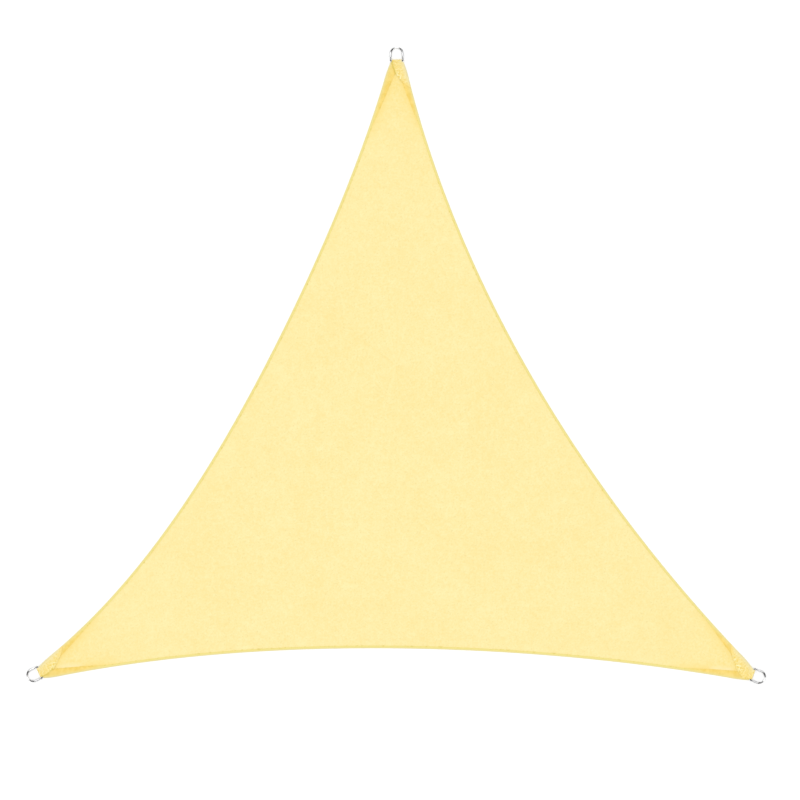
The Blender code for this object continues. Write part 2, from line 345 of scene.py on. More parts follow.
def unevenness_at(point):
    room = min(nearest_on(side, point)[1] for side in SIDES)
    wave = WAVE_HEIGHT * clamp(0.5 + noise.noise(Vector((point.x, point.y, 2)) * WAVES_PER_METRE))
    crease = 0.0
    for tip in TIPS:
        bar, outward, left = AXES[tip]
        away = point - bar
        rising = smooth_step((away.length - CREASE_FROM) / CREASE_RISE)
        falling = smooth_step((CREASE_TO - away.length) / CREASE_FALL)
        bearing = math.atan2(away.dot(left), -away.dot(outward))
        ridge = noise.noise(Vector((CREASES_PER_RADIAN * bearing, CREASE_WANDER * away.length, tip.heading)))
        crease = max(crease, CREASE_HEIGHT * rising * falling * clamp(2 * ridge))
    return (wave + crease) * smooth_step((room - FLAT_EDGE) / FLAT_FADE)


# The deeper colour of a wide hem shades off into the field, and the tips are a deeper colour too.
BESIDE_REACH = 400 * MM
BESIDE_FADE = 150 * MM
BESIDE_WIDTH = 20 * MM
TIP_REACH = 160 * MM
WEDGE_RISE = 10 * MM


def beside_hem(place):
    """How far a place has the colour of the hem beside it, from 0 to 1."""
    distance = from_nearest_tip(place)
    if distance > BESIDE_REACH:
        return 0.0
    reach = smooth_step((BESIDE_REACH - distance) / BESIDE_FADE)
    return reach * math.exp(-max(beyond_hems(place), 0.0) / BESIDE_WIDTH)


# Near each end of the bottom hem a short narrow strip of the field beside it is painted paler: a painted
# highlight standing in for cloth puffed up there. The field itself is not raised.
PUFF_FROM = 70 * MM
PUFF_RISE = 30 * MM
PUFF_TO = 200 * MM
PUFF_FALL = 50 * MM
PUFF_BEYOND = 5 * MM
PUFF_WIDTH = 3 * MM
BOTTOM = SIDES[1]


def puff_highlight_at(place):
    """How strongly the painted highlight of the puffed strip lies at a place, from 0 to 1."""
    distance = from_nearest_tip(place)
    if not PUFF_FROM < distance < PUFF_TO:
        return 0.0
    along, inset = nearest_on(BOTTOM, place)
    beyond = inset - hem_width(side_point(BOTTOM, along))
    window = smooth_step((distance - PUFF_FROM) / PUFF_RISE) * smooth_step((PUFF_TO - distance) / PUFF_FALL)
    return window * math.exp(-(((beyond - PUFF_BEYOND) / PUFF_WIDTH) ** 2))


SAME_PLACE = 0.001 * MM
points, _, faces, sources, _, _ = delaunay_2d_cdt(plan, plan_edges, [], 1, SAME_PLACE)
clothes = [cloth_at[source[0]] for source in sources]
face_side = []
under_side = []
for point, cloth in zip(points, clothes):
    base = lift_at(point) + cloth.pucker * pucker_at(point)
    if cloth is field:
        base += unevenness_at(point)
    face_side.append((point.x, point.y, base + cloth.face))
    under_side.append((point.x, point.y, base + cloth.underside))

placed = {source[0]: i for i, source in enumerate(sources)}
nose = []
for point in row_all_round(lambda edge: 0.0):
    nose.append((point.x, point.y, lift_at(point) + CLOTH_THICK))
count = len(points)
skin = [list(face) for face in faces]
skin += [[i + count for i in reversed(face)] for face in faces]
for i in range(rim_count):
    j = (i + 1) % rim_count
    nose_i, nose_j = 2 * count + i, 2 * count + j
    skin.append([nose_i, nose_j, placed[j], placed[i]])
    skin.append([placed[i] + count, placed[j] + count, nose_j, nose_i])


def new_piece(name, points, faces):
    """A new object, with its mesh, in the scene."""
    mesh = bpy.data.meshes.new(name)
    mesh.from_pydata(points, [], faces)
    piece = bpy.data.objects.new(name, mesh)
    bpy.context.scene.collection.objects.link(piece)
    return piece


def mark(piece, name, values):
    """Gives each point of a piece a value, which its material reads."""
    piece.data.attributes.new(name, "FLOAT", "POINT").data.foreach_set("value", values)


sail = new_piece("sail", face_side + under_side + nose, skin)
nose_cloth = Cloth(face=0, underside=0, doubled=1, folded=1.0, seam=0, pucker=0)
clothes = clothes + clothes + [nose_cloth] * len(nose)
places = [Vector(vertex.co[:2]) for vertex in sail.data.vertices]
mark(sail, "doubled", [cloth.doubled for cloth in clothes])
# The folded mark places the painted shade of the round fold.
mark(sail, "folded", [cloth.folded for cloth in clothes])
# The seam mark places beads of painted shadow along the seam.
mark(sail, "seam", [cloth.seam for cloth in clothes])
mark(sail, "near_tip", [math.exp(-from_nearest_tip(place) / TIP_REACH) for place in places])
mark(sail, "wedge", [clamp((hem_width(place) - HEM_WIDTH_MIDDLE) / WEDGE_RISE) for place in places])
mark(sail, "beside_hem", [beside_hem(place) for place in places])
# Where the painted highlight of the puffed strips goes.
mark(sail, "puff_highlight", [puff_highlight_at(place) for place in places])


def close_and_smooth(piece, sharp_degrees):
    """Points the faces outwards and shades them smooth up to an angle."""
    bpy.ops.object.select_all(action="DESELECT")
    bpy.context.view_layer.objects.active = piece
    piece.select_set(True)
    bpy.ops.object.mode_set(mode="EDIT")
    bpy.ops.mesh.select_all(action="SELECT")
    bpy.ops.mesh.normals_make_consistent(inside=False)
    bpy.ops.object.mode_set(mode="OBJECT")
    bpy.ops.object.shade_smooth_by_angle(angle=math.radians(sharp_degrees))
    piece.select_set(False)


close_and_smooth(sail, sharp_degrees=40)


def linear(hex_colour):
    """An sRGB hex colour as linear RGBA."""
    channels = [int(hex_colour[i : i + 2], 16) / 255 for i in (1, 3, 5)]
    return tuple(c / 12.92 if c <= 0.04045 else ((c + 0.055) / 1.055) ** 2.4 for c in channels) + (1.0,)


def add_node(material, kind, inputs=(), **settings):
    """Adds a node, with its settings, and with its inputs set to values or linked to sockets."""
    node = material.node_tree.nodes.new(kind)
    for name, value in settings.items():
        setattr(node, name, value)
    for name, value in dict(inputs).items():
        if isinstance(value, bpy.types.NodeSocket):
            material.node_tree.links.new(value, node.inputs[name])
        else:
            node.inputs[name].default_value = value
    return node


def plain_material(name, roughness, metallic=0.0):
    """A material and its shader."""
    material = bpy.data.materials.new(name)
    material.use_nodes = True
    shader = material.node_tree.nodes["Principled BSDF"]
    shader.inputs["Roughness"].default_value = roughness
    shader.inputs["Metallic"].default_value = metallic
    return material, shader


def reckon(material, operation, *values, limited=False):
    """A sum that the material works out, over plain values or sockets."""
    inputs = dict(enumerate(values))
    return add_node(material, "ShaderNodeMath", inputs, operation=operation, use_clamp=limited).outputs[0]


def blend(material, factor, first, second):
    """A colour between two others, each plain or a socket."""
    inputs = {0: factor, 6: first, 7: second}
    return add_node(material, "ShaderNodeMix", inputs, data_type="RGBA").outputs[2]


def mottle(material, place, millimetres, detail):
    """Uneven soft patches of about this size, from 0 to 1."""
    inputs = {"Vector": place, "Scale": 1 / (millimetres * MM), "Detail": detail, "Roughness": 0.6}
    return add_node(material, "ShaderNodeTexNoise", inputs).outputs["Fac"]


def spots(material, place, millimetres, detail, contrast, bias):
    """Patches of about this size with clearer edges, from 0 to 1. A greater bias makes more of them."""
    uneven = mottle(material, place, millimetres, detail)
    return reckon(material, "MULTIPLY_ADD", uneven, contrast, bias, limited=True)


def attribute(material, name):
    return add_node(material, "ShaderNodeAttribute", attribute_name=name).outputs["Fac"]


# Columns and courses of the knit. They are drawn coarser than the real ones, which are 2 mm by 1.5 mm. The
# legs of a loop's V climb by 0.8 of a course, and its column is rounded.
WALE = 3.2 * MM
COURSE = 2.4 * MM
LOOP_CLIMB = 0.8
LOOP_ROUND = 0.6
BETWEEN_COURSES = 0.55


def knit(material, place):
    """The height, from 0 to 1, of a chain knit: upright columns of loops, each loop a small V."""
    split = add_node(material, "ShaderNodeSeparateXYZ", {"Vector": place})
    column = reckon(material, "PINGPONG", reckon(material, "DIVIDE", split.outputs["X"], WALE), 0.5)
    column = reckon(material, "MULTIPLY", column, 2.0)
    row = reckon(material, "DIVIDE", split.outputs["Y"], COURSE)
    loop = reckon(material, "PINGPONG", reckon(material, "MULTIPLY_ADD", column, LOOP_CLIMB, row), 0.5)
    loop = reckon(material, "MULTIPLY_ADD", loop, 2 * (1 - BETWEEN_COURSES), BETWEEN_COURSES)
    return reckon(material, "MULTIPLY", reckon(material, "POWER", column, LOOP_ROUND), loop)


# Knitted polyethylene: soft, matt and slightly waxy, pale sand yellow. The knit shows close to. From a step
# away it is lost, and what is left is an uneven mottle, 8 to 300 mm across, where the knit lies denser or
# more open over the white ground, with fine darker specks in it. At the corners it is mottled in paler and
# deeper patches.
CLOTH_OPEN = "#EDE1A6"
CLOTH_DENSE = "#EBD792"
CLOTH_SPECK = "#E4D291"
TIP_PALE = "#ECDE9F"
TIP_DEEP = "#E8CE72"
CLOTH_SHINE = 0.3
KNIT_RELIEF = 0.3 * MM

# The layers of the mottle: size in millimetres, detail, and how much each adds to the density.
DENSITY_LAYERS = ((300, 1.0, 0.6), (62, 2.0, 0.8), (20, 2.0, 1.1), (8, 1.0, 1.2))
DENSITY_BIAS = -1.3

# Painted shade of the knit: the shade between its loops, and how much lighter it is on them.
SHADE_BETWEEN_LOOPS = 0.914
ON_LOOPS = 0.18


def knitted_cloth(name, coordinates):
    """The cloth's material, the place on it, its knit, its own uneven colour, and its colour at the tips."""
    material, shader = plain_material(name, roughness=0.72)
    shader.inputs["Specular IOR Level"].default_value = CLOTH_SHINE
    place = add_node(material, "ShaderNodeTexCoord").outputs[coordinates]
    density = DENSITY_BIAS
    for millimetres, detail, amount in DENSITY_LAYERS:
        uneven = mottle(material, place, millimetres, detail)
        density = reckon(material, "MULTIPLY_ADD", uneven, amount, density)
    density = reckon(material, "ADD", density, 0.0, limited=True)
    colour = blend(material, density, linear(CLOTH_OPEN), linear(CLOTH_DENSE))
    specks = spots(material, place, millimetres=7, detail=0.0, contrast=3.2, bias=-2.0)
    colour = blend(material, specks, colour, linear(CLOTH_SPECK))
    loops = knit(material, place)
    relief = {"Strength": 0.5, "Distance": KNIT_RELIEF, "Height": loops}
    bump = add_node(material, "ShaderNodeBump", relief)
    material.node_tree.links.new(bump.outputs["Normal"], shader.inputs["Normal"])
    tip_mottle = spots(material, place, millimetres=11, detail=2.0, contrast=3.2, bias=-1.1)
    tip_mottled = blend(material, tip_mottle, linear(TIP_PALE), linear(TIP_DEEP))
    return material, place, loops, colour, tip_mottled


def colour_cloth(material, loops, colour):
    """Gives the cloth its colour, with painted shade a little darker between the loops of the knit than on
    them.
    """
    shade = reckon(material, "MULTIPLY_ADD", loops, ON_LOOPS, SHADE_BETWEEN_LOOPS)
    shaded = add_node(material, "ShaderNodeVectorMath", {0: colour, "Scale": shade}, operation="SCALE")
    shader = material.node_tree.nodes["Principled BSDF"]
    material.node_tree.links.new(shaded.outputs[0], shader.inputs["Base Color"])


# Doubled cloth lets less of the ground through, so the hem is a deeper yellow, deepest and patchy in its wide
# wedges. The round fold gets a greyer painted shade, the seam small dark beads of painted shadow, and a short
# strip beside each end of the bottom hem a paler painted highlight, standing in for cloth puffed up there.
CLOTH_DOUBLED = "#E4D583"
WEDGE_PALE = "#ECCF73"
WEDGE_DEEP = "#E4C35B"
FOLD_PAINTED_SHADE = "#DED190"
DARK_PAINTED_SHADE = "#D3BC54"
PUFF_HIGHLIGHT = "#F0E6BE"
BESIDE_SHARE = 0.6
material, place, loops, colour, tip_mottled = knitted_cloth("knitted polyethylene shade cloth", "Object")
colour = blend(material, attribute(material, "near_tip"), colour, tip_mottled)
shaded_off = reckon(material, "MULTIPLY", attribute(material, "beside_hem"), BESIDE_SHARE)
colour = blend(material, shaded_off, colour, linear(WEDGE_PALE))
# Painted highlight on the strips beside the ends of the bottom hem.
colour = blend(material, attribute(material, "puff_highlight"), colour, linear(PUFF_HIGHLIGHT))
patches = spots(material, place, millimetres=24, detail=2.0, contrast=4.0, bias=-1.6)
wedge_colour = blend(material, patches, linear(WEDGE_PALE), linear(WEDGE_DEEP))
hem_colour = blend(material, attribute(material, "wedge"), linear(CLOTH_DOUBLED), wedge_colour)
colour = blend(material, attribute(material, "doubled"), colour, hem_colour)
# Painted shade on the round fold.
colour = blend(material, attribute(material, "folded"), colour, linear(FOLD_PAINTED_SHADE))
# Beads of painted shadow along the seam, in the dark painted shade colour.
bead_shadows = spots(material, place, millimetres=14, detail=1.0, contrast=4.0, bias=-2.2)
bead_shadows = reckon(material, "MULTIPLY", attribute(material, "seam"), bead_shadows)
colour = blend(material, bead_shadows, colour, linear(DARK_PAINTED_SHADE))
colour_cloth(material, loops, colour)
sail.data.materials.append(material)

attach(sail, "root")
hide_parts("sail_cloth")


# The corner tabs. A piece of the same cloth at each tip, folded round the bar of the ring and sewn down over
# the ends of both hems. The fold is 41 mm wide. The lower tail reaches 40 mm in under the tip, and the upper
# one 103 to 120 mm in and out over one hem, with its inner edge cut on the slant and pressed down.

WIRE = 6 * MM
LOOP_HALF_WIDTH = 20.4 * MM
LOOP_SLACK = 0.6 * MM
LOOP_RADIUS = WIRE / 2 + LOOP_SLACK + TAB_THICK / 2
BAR_HEIGHT = TAB_THICK / 2 + LOOP_RADIUS
LOOP_STEPS = 16
LETS_GO = math.radians(35)
LET_GO_DEPTH = LOOP_RADIUS * math.sin(LETS_GO)
LET_GO_HEIGHT = BAR_HEIGHT + LOOP_RADIUS * math.cos(LETS_GO)
TAUT_REACH = 9.5 * MM
LOWER_TAIL = 40 * MM
LOWER_ROWS = 8
UPPER_TAIL_START = TIP_SETBACK + 1.5 * MM
UPPER_TAIL_FLARE = 3 * MM
UPPER_TAIL_INSET = 1.5 * MM
UPPER_ROW_STEP = 3 * MM
MID_ROW_SKEW = 12 * MM
FAR_ROW_SKEW = 14 * MM
TAB_COLUMNS = 20
HALVINGS = 24


def edge_across(tip, depth):
    """How far the folded edge is from a tip's axis, on the side that the tab covers, at a depth."""
    index = TIPS.index(tip)
    side = next(side for side in SIDES if (side.start if tip.covers > 0 else side.end) == index)
    near, far = 0.0, 0.5
    for _ in range(HALVINGS):
        middle = (near + far) / 2
        edge = side_point(side, middle if tip.covers > 0 else 1 - middle)
        if depth_in(edge, tip) < depth:
            near = middle
        else:
            far = middle
    bar, _, left = AXES[tip]
    return abs((edge - bar).dot(left))


def upper_tail_rows(tip):
    """Rows across the upper tail, from the bar inwards. Each is its slanted end and its covered end."""

    def row(depth, across, skew):
        return (depth, across), (depth + skew, edge_across(tip, depth + skew) - UPPER_TAIL_INSET)

    corners = [
        row(UPPER_TAIL_START, -LOOP_HALF_WIDTH - UPPER_TAIL_FLARE, 0.0),
        row(tip.near_in * MM, tip.near_across * MM, 0.0),
        row(tip.mid_in * MM, tip.mid_across * MM, MID_ROW_SKEW),
        row(tip.far_in * MM, tip.far_across * MM, FAR_ROW_SKEW),
    ]
    rows = [((LET_GO_DEPTH, -LOOP_HALF_WIDTH), (LET_GO_DEPTH, LOOP_HALF_WIDTH))]
    for corner_row in corners:
        before = rows[-1]
        parts = math.ceil((corner_row[0][0] - before[0][0]) / UPPER_ROW_STEP)
        for k in range(1, parts + 1):
            rows.append([Vector(a).lerp(Vector(b), k / parts) for a, b in zip(before, corner_row)])
    return rows


def place_at(tip, depth, across):
    """The place this far in from the bar, and this far across towards the side that the tab covers."""
    bar, outward, left = AXES[tip]
    return bar - outward * depth + left * across * tip.covers


OFF_HEM_FROM = 0.5 * MM
OFF_HEM_OVER = 8 * MM


def tab_middle(tip, point):
    """The height of the middle of the upper tail, which slopes down from the fold and lies on the hems."""
    on_field = smooth_step((beyond_hems(point) - OFF_HEM_FROM) / OFF_HEM_OVER)
    lying = lift_at(point) + CLOTH_THICK * (2 - on_field) + SEWN_GAP + TAB_THICK / 2
    taut = clamp(1 - (depth_in(point, tip) - LET_GO_DEPTH) / TAUT_REACH)
    return lying + (LET_GO_HEIGHT - lying) * taut**2


def tab_strip(tip):
    """Rows of (depth, across, height) and the way travelled along the strip, from lower tail to upper."""
    shares = [0.5 - 0.5 * math.cos(math.pi * c / TAB_COLUMNS) for c in range(TAB_COLUMNS + 1)]
    rows = []

    def straight(depth, height, travelled):
        across = [LOOP_HALF_WIDTH * (2 * share - 1) for share in shares]
        rows.append([(depth, a, height, travelled) for a in across])

    for i in range(LOWER_ROWS):
        depth = LOWER_TAIL * (1 - i / LOWER_ROWS)
        straight(depth, TAB_THICK / 2, -depth)
    for step in range(LOOP_STEPS):
        turn = -math.pi + (math.pi + LETS_GO) * step / LOOP_STEPS
        travelled = LOOP_RADIUS * (turn + math.pi)
        straight(LOOP_RADIUS * math.sin(turn), BAR_HEIGHT + LOOP_RADIUS * math.cos(turn), travelled)
    round_loop = LOOP_RADIUS * (math.pi + LETS_GO) - LET_GO_DEPTH
    for slanted, covered in upper_tail_rows(tip):
        row = []
        for share in shares:
            depth, across = Vector(slanted).lerp(Vector(covered), share)
            height = tab_middle(tip, place_at(tip, depth, across))
            row.append((depth, across, height, round_loop + depth))
        rows.append(row)
    return rows


# The cut edges are pressed thin where the tab is not creased, and its inner end fades into the cloth below.
PRESSED_REACH = 3.5 * MM
PRESSED_THIN = 0.67
END_FADE = 30 * MM
TAB_EDGE_ROUND = 0.45 * MM

# The crease beside the slanted edge: how far it runs past the edge's middle, how it ends, and the width of
# its painted shade and how softly that fades.
CREASE_PAST = 10 * MM
CREASE_ENDING = 20 * MM
CREASE_WIDTH = 9 * MM
CREASE_SOFT = 6 * MM

# How far the hem below shows through, the least of it near the bar, and how pale the covered edge is.
ON_HEM_PAST = 2 * MM
ON_HEM_SOFT = 6 * MM
ON_HEM_LEAST = 0.4
COVERED_WIDTH = 12 * MM
COVERED_MOST = 0.95
COVERED_LOST = 0.75


def corner_tab(tip):
    """A tab: the strip, marked for its material, and given its thickness and soft edges."""
    rows = tab_strip(tip)
    points = []
    on_strip = []
    pressed = []
    shades = {"folded": [], "on_hems": [], "crease": [], "covered_edge": []}
    for row in rows:
        upper = row[0][3] > LOOP_RADIUS * math.pi
        creased = tip.creased * smooth_step((tip.mid_in * MM + CREASE_PAST - row[0][0]) / CREASE_ENDING)
        from_end = rows[-1][0][0] - row[0][0]
        fading = smooth_step(1 - from_end / END_FADE)
        for depth, across, height, travelled in row:
            point = place_at(tip, depth, across)
            from_slant = across - row[0][1]
            near_cut = smooth_step(1 - min(from_slant, from_end) / PRESSED_REACH)
            pressed.append(upper * (1 - creased) * near_cut)
            points.append((*point, height - TAB_THICK / 2 * PRESSED_THIN * pressed[-1]))
            on_strip.append((travelled, across))
            on_hems = smooth_step((ON_HEM_PAST - beyond_hems(point)) / ON_HEM_SOFT)
            covered = math.exp((across - row[-1][1]) / COVERED_WIDTH)
            # The folded and crease shades mark where painted shade goes: round the outside of the fold, and
            # along the crease beside the slanted edge.
            shades["folded"].append(smooth_step(-depth / LOOP_RADIUS))
            shades["on_hems"].append(on_hems * (ON_HEM_LEAST + (1 - ON_HEM_LEAST) * fading))
            shades["crease"].append(upper * creased * smooth_step((CREASE_WIDTH - from_slant) / CREASE_SOFT))
            shades["covered_edge"].append(upper * covered * (COVERED_MOST - COVERED_LOST * fading))
    width = TAB_COLUMNS + 1
    faces = []
    for r in range(len(rows) - 1):
        for c in range(TAB_COLUMNS):
            first = r * width + c
            faces.append((first, first + 1, first + width + 1, first + width))
    tab = new_piece("tab_" + tip.name, points, faces)
    for name, values in shades.items():
        mark(tab, name, values)
    on_cloth = tab.data.uv_layers.new(name="along the strip")
    corners = [on_strip[loop.vertex_index] for loop in tab.data.loops]
    on_cloth.data.foreach_set("uv", [value for corner in corners for value in corner])
    unpressed = tab.vertex_groups.new(name="unpressed")
    for i, share in enumerate(pressed):
        unpressed.add([i], 1 - share, "REPLACE")
    thickness = tab.modifiers.new("thickness", "SOLIDIFY")
    thickness.thickness = TAB_THICK
    thickness.offset = 0
    thickness.vertex_group = unpressed.name
    thickness.thickness_vertex_group = 1 - PRESSED_THIN
    edges = tab.modifiers.new("soft edges", "BEVEL")
    edges.width = TAB_EDGE_ROUND
    edges.segments = 2
    edges.limit_method = "ANGLE"
    edges.angle_limit = math.radians(60)
    bpy.context.view_layer.objects.active = tab
    tab.select_set(True)
    for modifier in ("thickness", "soft edges"):
        bpy.ops.object.modifier_apply(modifier=modifier)
    close_and_smooth(tab, sharp_degrees=50)
    return tab


# The same knit as the sail's, laid along the strip, mottled in paler and deeper patches, with pale glints of
# painted highlight and dark pits of painted shade. It is deeper where it lies on the hems, has a dark painted
# shade round the fold and in places along the crease beside its slanted edge, and is paler towards the edge
# of the sail.
TAB_HIGHLIGHT = "#F4EBB4"
TAB_PIT_SHADE = "#DFBE48"
THIN_EDGE = "#E3D9AB"
PAINTED_FOLD_SHARE = 0.45
material, place, loops, _, tip_mottled = knitted_cloth("knitted polyethylene, tab", "UV")
# Painted highlights as pale glints, and painted shade as dark pits.
highlight_glints = spots(material, place, millimetres=9, detail=1.0, contrast=4.0, bias=-1.9)
tip_mottled = blend(material, highlight_glints, tip_mottled, linear(TAB_HIGHLIGHT))
pit_shade = spots(material, place, millimetres=6.5, detail=0.0, contrast=4.0, bias=-2.1)
tip_mottled = blend(material, pit_shade, tip_mottled, linear(TAB_PIT_SHADE))
colour = blend(material, attribute(material, "on_hems"), tip_mottled, linear(WEDGE_PALE))
colour = blend(material, attribute(material, "covered_edge"), colour, linear(THIN_EDGE))
# Painted shade: broken patches along the crease, and a share round the fold, in the dark painted shade
# colour.
crease_shade_patches = spots(material, place, millimetres=16, detail=2.0, contrast=3.0, bias=-0.7)
creased = reckon(material, "MULTIPLY", attribute(material, "crease"), crease_shade_patches)
creased = reckon(material, "MULTIPLY_ADD", attribute(material, "folded"), PAINTED_FOLD_SHARE, creased, limited=True)
colour_cloth(material, loops, blend(material, creased, colour, linear(DARK_PAINTED_SHADE)))

tabs = [corner_tab(tip) for tip in TIPS]
for tip, tab in zip(TIPS, tabs):
    tab.data.materials.append(material)
    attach(tab, "root")
    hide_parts("corner_tab_" + tip.name)


# The D-rings. Round stainless wire 6 mm thick, bent to 57 mm by 62 mm outside, its bar held in the fold of
# the tab. The bar lies on the tab and the crown on the floor, so each ring slopes down outwards a little. The
# width and height here are to the middle of the wire.

RING_WIDTH = 51 * MM
RING_HEIGHT = 56 * MM
RING_BEND = 6 * MM
WIRE_SIDES = 24
BEND_STEPS = 9
CROWN_STEPS = 48
half_bar = RING_WIDTH / 2 - RING_BEND
leg = RING_HEIGHT - RING_WIDTH / 2 - RING_BEND


def draw_wire(reach):
    """Draws the open end of the wire straight on."""
    bpy.ops.mesh.extrude_region_move(TRANSFORM_OT_translate={"value": reach})


def bend_wire(centre, degrees, steps):
    """Bends the open end of the wire round a place in the ring's plane."""
    bpy.ops.mesh.spin(steps=steps, angle=math.radians(degrees), center=centre, axis=(0, 0, 1))


upright = (math.radians(90), 0, 0)
bpy.ops.mesh.primitive_circle_add(
    vertices=WIRE_SIDES, radius=WIRE / 2, location=(0, -half_bar, 0), rotation=upright
)
ring_pattern = bpy.context.object
bpy.ops.object.transform_apply(location=True, rotation=True, scale=True)
bpy.ops.object.mode_set(mode="EDIT")
bpy.ops.mesh.select_all(action="SELECT")
draw_wire((0, 2 * half_bar, 0))
bend_wire((RING_BEND, half_bar, 0), 90, BEND_STEPS)
draw_wire((leg, 0, 0))
bend_wire((RING_BEND + leg, 0, 0), 180, CROWN_STEPS)
draw_wire((-leg, 0, 0))
bend_wire((RING_BEND, -half_bar, 0), 90, BEND_STEPS)
bpy.ops.mesh.select_all(action="SELECT")
bpy.ops.mesh.remove_doubles(threshold=0.01 * MM)
bpy.ops.object.mode_set(mode="OBJECT")

# Polished stainless steel, bright and a little cold. Fine scratches from the tumbling that it was polished in
# blur its reflections in patches of about 5 mm.
STEEL = "#F1F1F2"
SMOOTHEST = 0.04
SCRATCHED = 0.16
material, shader = plain_material("polished stainless steel", roughness=SMOOTHEST, metallic=1.0)
shader.inputs["Base Color"].default_value = linear(STEEL)
place = add_node(material, "ShaderNodeTexCoord").outputs["Object"]
uneven = mottle(material, place, millimetres=5, detail=4.0)
scratched = reckon(material, "MULTIPLY_ADD", uneven, SCRATCHED, SMOOTHEST)
material.node_tree.links.new(scratched, shader.inputs["Roughness"])

slope = math.asin((BAR_HEIGHT - WIRE / 2) / RING_HEIGHT)
for tip in TIPS:
    ring = ring_pattern.copy()
    ring.data = ring_pattern.data.copy()
    ring.name = "ring_" + tip.name
    bpy.context.scene.collection.objects.link(ring)
    ring.location = (tip.x, tip.y, BAR_HEIGHT)
    ring.rotation_euler = (0, slope, math.radians(tip.heading))
    bpy.ops.object.select_all(action="DESELECT")
    bpy.context.view_layer.objects.active = ring
    ring.select_set(True)
    bpy.ops.object.transform_apply(location=True, rotation=True, scale=True)
    close_and_smooth(ring, sharp_degrees=60)
    ring.data.materials.append(material)
    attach(ring, "root")
    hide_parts("d_ring_" + tip.name)
bpy.data.objects.remove(ring_pattern, do_unlink=True)


# The stitching. One lockstitch row in darker polyester thread, 0.8 mm thick, runs along each hem close to
# its inner edge. Two rows hold each tab down inside its slanted and covered edges, and two cross it close
# to the bar. Stitches are drawn 5 mm apart, where real ones are 3 mm.

THREAD = 0.8 * MM
STITCH_LENGTH = 3.8 * MM
STITCH_PITCH = 5 * MM
PITCH_RANGE = (0.94, 1.06)
HEADING_RANGE = (-0.08, 0.08)
ENDS_SUNK = 0.5 * THREAD
bpy.ops.mesh.primitive_uv_sphere_add(segments=6, ring_count=4, radius=1.0, rotation=(0, math.radians(90), 0))
stitch_pattern = bpy.context.object
bpy.ops.object.transform_apply(location=True, rotation=True, scale=True)
pattern_points = []
for vertex in stitch_pattern.data.vertices:
    along, across, up = vertex.co
    height = up * THREAD / 2 - ENDS_SUNK * along**2
    pattern_points.append(Vector((along * STITCH_LENGTH / 2, across * THREAD / 2, height)))
pattern_faces = [list(face.vertices) for face in stitch_pattern.data.polygons]
bpy.data.objects.remove(stitch_pattern, do_unlink=True)

# Bonded polyester thread, smoother than the cloth, in a darker sand.
THREAD_SAND = "#E1CB7C"
thread_material, shader = plain_material("bonded polyester thread", roughness=0.55)
shader.inputs["Base Color"].default_value = linear(THREAD_SAND)

random.seed(4)


def stitching(name, lines, height_at, shown_at):
    """Stitches along lines in plan, lying at a height over each place, wherever they are shown."""
    points = []
    faces = []
    for line in lines:
        still_to_go = STITCH_PITCH / 2
        for start, end in zip(line, line[1:]):
            length = (end - start).length
            while still_to_go < length:
                place = start.lerp(end, still_to_go / length)
                still_to_go += STITCH_PITCH * random.uniform(*PITCH_RANGE)
                if not shown_at(place):
                    continue
                heading = math.atan2(end.y - start.y, end.x - start.x) + random.uniform(*HEADING_RANGE)
                lies = Matrix.Translation((place.x, place.y, height_at(place)))
                lies = lies @ Matrix.Rotation(heading, 4, "Z")
                faces += [[i + len(points) for i in face] for face in pattern_faces]
                points += [lies @ point for point in pattern_points]
            still_to_go -= length
    piece = new_piece(name, points, faces)
    close_and_smooth(piece, sharp_degrees=60)
    piece.data.materials.append(thread_material)
    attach(piece, "root")
    return piece


NEAR_TAB = 200 * MM


def under_tab(point):
    """Whether the upper tail of a tab lies over a point."""
    for tip, outline in TAB_OUTLINES.items():
        if (point - Vector((tip.x, tip.y))).length < NEAR_TAB:
            inside = False
            for a, b in zip(outline, outline[1:] + outline[:1]):
                if (a.y > point.y) != (b.y > point.y):
                    if point.x < a.x + (b.x - a.x) * (point.y - a.y) / (b.y - a.y):
                        inside = not inside
            if inside:
                return True
    return False


def tab_outline(tip):
    """The upper tail's outline in plan."""
    rows = upper_tail_rows(tip)
    ends = [slanted for slanted, _ in rows] + [covered for _, covered in reversed(rows)]
    return [place_at(tip, depth, across) for depth, across in ends]


TAB_OUTLINES = {tip: tab_outline(tip) for tip in TIPS}


def hem_thread_height(point):
    """How high the thread lies on the hem."""
    return lift_at(point) + pucker_at(point) + SEAM_FACE + 0.3 * THREAD


seam_line = row_all_round(lambda edge: hem_width(edge) - SEAM_INSET)
hem_stitching = stitching(
    "hem_stitching", [seam_line + seam_line[:1]], hem_thread_height, lambda place: not under_tab(place)
)

TAB_SEAM_INSET = 3.5 * MM
CROSS_ROWS = (14 * MM, 20 * MM)


def tab_seams(tip):
    """Lines in plan: one along the slanted edge, the inner end and the covered edge, and two across."""
    rows = [row for row in upper_tail_rows(tip) if row[0][0] > CROSS_ROWS[0]]
    along_slant = []
    along_cover = []
    for slanted, covered in rows[:-1]:
        across = (Vector(covered) - Vector(slanted)).normalized() * TAB_SEAM_INSET
        along_slant.append(place_at(tip, *(Vector(slanted) + across)))
        along_cover.append(place_at(tip, *(Vector(covered) - across)))
    lines = [along_slant + along_cover[::-1]]
    for depth in CROSS_ROWS:
        row = min(upper_tail_rows(tip), key=lambda row: abs(row[0][0] - depth))
        inner = (Vector(row[1]) - Vector(row[0])).normalized() * TAB_SEAM_INSET
        lines.append([place_at(tip, *(Vector(row[0]) + inner)), place_at(tip, *(Vector(row[1]) - inner))])
    return lines


for tip in TIPS:
    stitches = stitching(
        "tab_stitching_" + tip.name,
        tab_seams(tip),
        lambda point: tab_middle(tip, point) + TAB_THICK / 2 + 0.2 * THREAD,
        lambda point: True,
    )


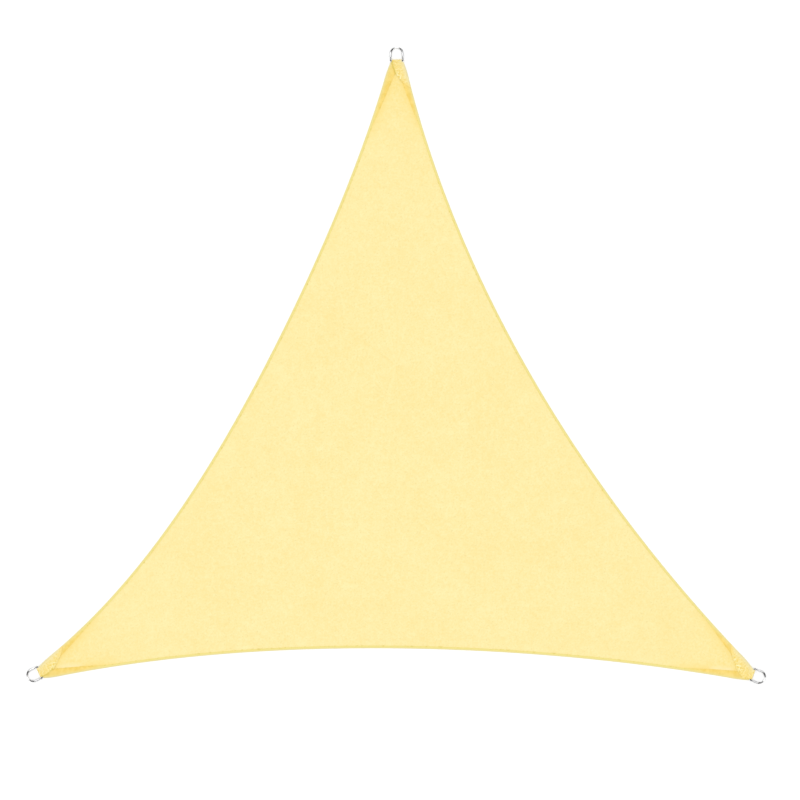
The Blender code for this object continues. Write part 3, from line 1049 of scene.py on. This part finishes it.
# The studio. A pale floor, an even white sky and one wide soft lamp overhead. The camera looks straight down
# through a long lens, so that the sail shows square on.

bpy.ops.mesh.primitive_plane_add(size=160)
floor = bpy.context.object
floor.name = "floor"
material, shader = plain_material("matt paper", roughness=0.9)
shader.inputs["Base Color"].default_value = linear("#F6F6F6")
shader.inputs["Specular IOR Level"].default_value = 0.1
floor.data.materials.append(material)

# Four dark flags stand round each ring, out of the camera's sight. The bright wire mirrors them on both
# sides of its crown and where its bends go into the tab. Each pair is given by where it starts and ends, in
# degrees from the way that the ring points. The pair at the crown is turned a little at the lower rings.
FLAG_REACH = 0.15
FLAG_FOOT = 0.4 * MM
FLAG_LEAN = math.radians(10)
CROWN_FLAGS = ((20, 65), (-65, -20))
BAR_FLAGS = ((92.5, 155), (-155, -92.5))
CROWN_TURNS = {"top": 0, "left": 7.5, "right": -10}
black_felt, shader = plain_material("black felt", roughness=0.95)
shader.inputs["Base Color"].default_value = linear("#272727")
for tip in TIPS:
    turned = CROWN_TURNS[tip.name]
    spans = [(low + turned, high + turned) for low, high in CROWN_FLAGS] + list(BAR_FLAGS)
    bpy.ops.object.select_all(action="DESELECT")
    bpy.ops.mesh.primitive_uv_sphere_add(segments=144, ring_count=24, radius=FLAG_REACH)
    flags = bpy.context.object
    flags.name = "flags_" + tip.name
    bpy.ops.object.mode_set(mode="EDIT")
    bpy.ops.mesh.select_mode(type="FACE")
    bpy.ops.mesh.select_all(action="DESELECT")
    bpy.ops.object.mode_set(mode="OBJECT")
    for face in flags.data.polygons:
        turn = math.degrees(math.atan2(face.center.y, face.center.x))
        face.select = not any(low < turn < high for low, high in spans)
    bpy.ops.object.mode_set(mode="EDIT")
    bpy.ops.mesh.delete(type="FACE")
    bpy.ops.object.mode_set(mode="OBJECT")
    flags.rotation_euler.y = FLAG_LEAN
    bpy.ops.object.transform_apply(location=False, rotation=True, scale=False)
    for vertex in flags.data.vertices:
        vertex.co.z = max(vertex.co.z, FLAG_FOOT)
    flags.data.materials.append(black_felt)
    bar, outward, _ = AXES[tip]
    flags.location = (*(bar + outward * (RING_BEND + leg)), 0)
    flags.rotation_euler.z = math.radians(tip.heading)
    flags.visible_camera = False
    flags.visible_diffuse = False
    flags.visible_shadow = False
    flags.visible_transmission = False

world = bpy.data.worlds.new("white studio")
bpy.context.scene.world = world
world.use_nodes = True
sky = world.node_tree.nodes["Background"]
sky.inputs["Color"].default_value = linear("#FFFFFF")
sky.inputs["Strength"].default_value = 1.0

lamp = bpy.data.lights.new("overhead lamp", "SUN")
lamp.energy = 0.67
lamp.angle = math.radians(50)
lamp_object = bpy.data.objects.new("overhead_lamp", lamp)
lamp_object.rotation_euler = (math.radians(-12), math.radians(-12), 0)
bpy.context.scene.collection.objects.link(lamp_object)

bpy.context.scene.view_settings.view_transform = "Standard"

VIEW_WIDTH = 3.374
VIEW_MIDDLE = (0.0163, -0.1464)
LENS = 100
camera = bpy.data.cameras.new("camera")
camera.lens = LENS
camera_object = bpy.data.objects.new("camera", camera)
camera_object.location = (*VIEW_MIDDLE, VIEW_WIDTH / camera.sensor_width * LENS)
bpy.context.scene.collection.objects.link(camera_object)
bpy.context.scene.camera = camera_object
